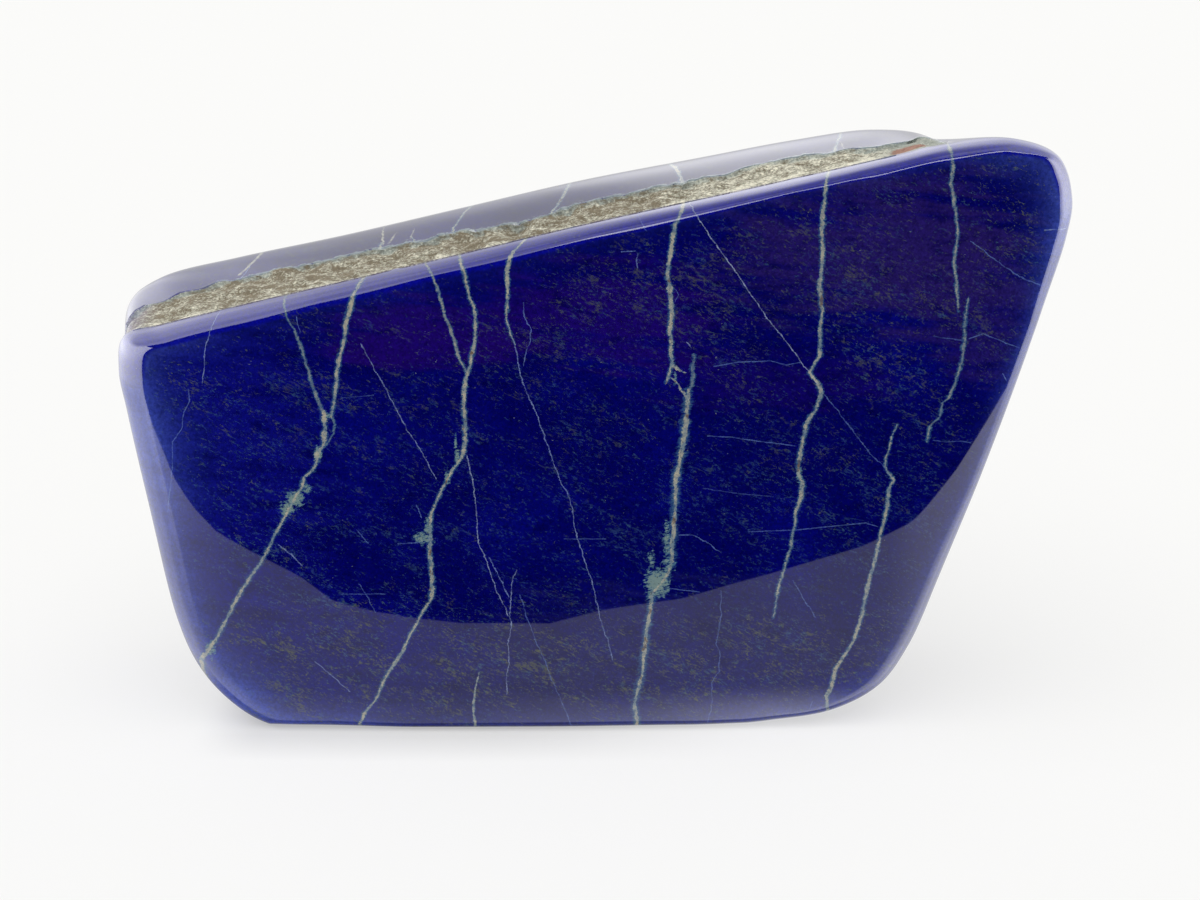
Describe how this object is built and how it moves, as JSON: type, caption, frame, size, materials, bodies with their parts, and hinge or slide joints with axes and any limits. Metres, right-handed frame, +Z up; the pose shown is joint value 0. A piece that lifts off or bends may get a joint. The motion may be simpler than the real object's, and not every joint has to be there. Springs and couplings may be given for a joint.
{
  "type": "rough lapis lazuli, polished freeform slab",
  "caption": "Freeform slab of lapis lazuli, polished deep blue with pale veins, a rough strip left along its slanting top, standing on a small flat cut.",
  "frame": {"origin": "on the surface the stone stands on, under the middle of its bounding box", "axes": "+X along the length towards the taller end, -Y out of the wide polished front face, +Z up"},
  "size_m": [0.3101, 0.0819, 0.1921],
  "materials": {
    "lapis": "polished deep blue stone with pale veins, granular and matt on the unpolished strip"
  },
  "bodies": {
    "root": {"lapis_stone": "lapis"}
  },
  "joints": []
}
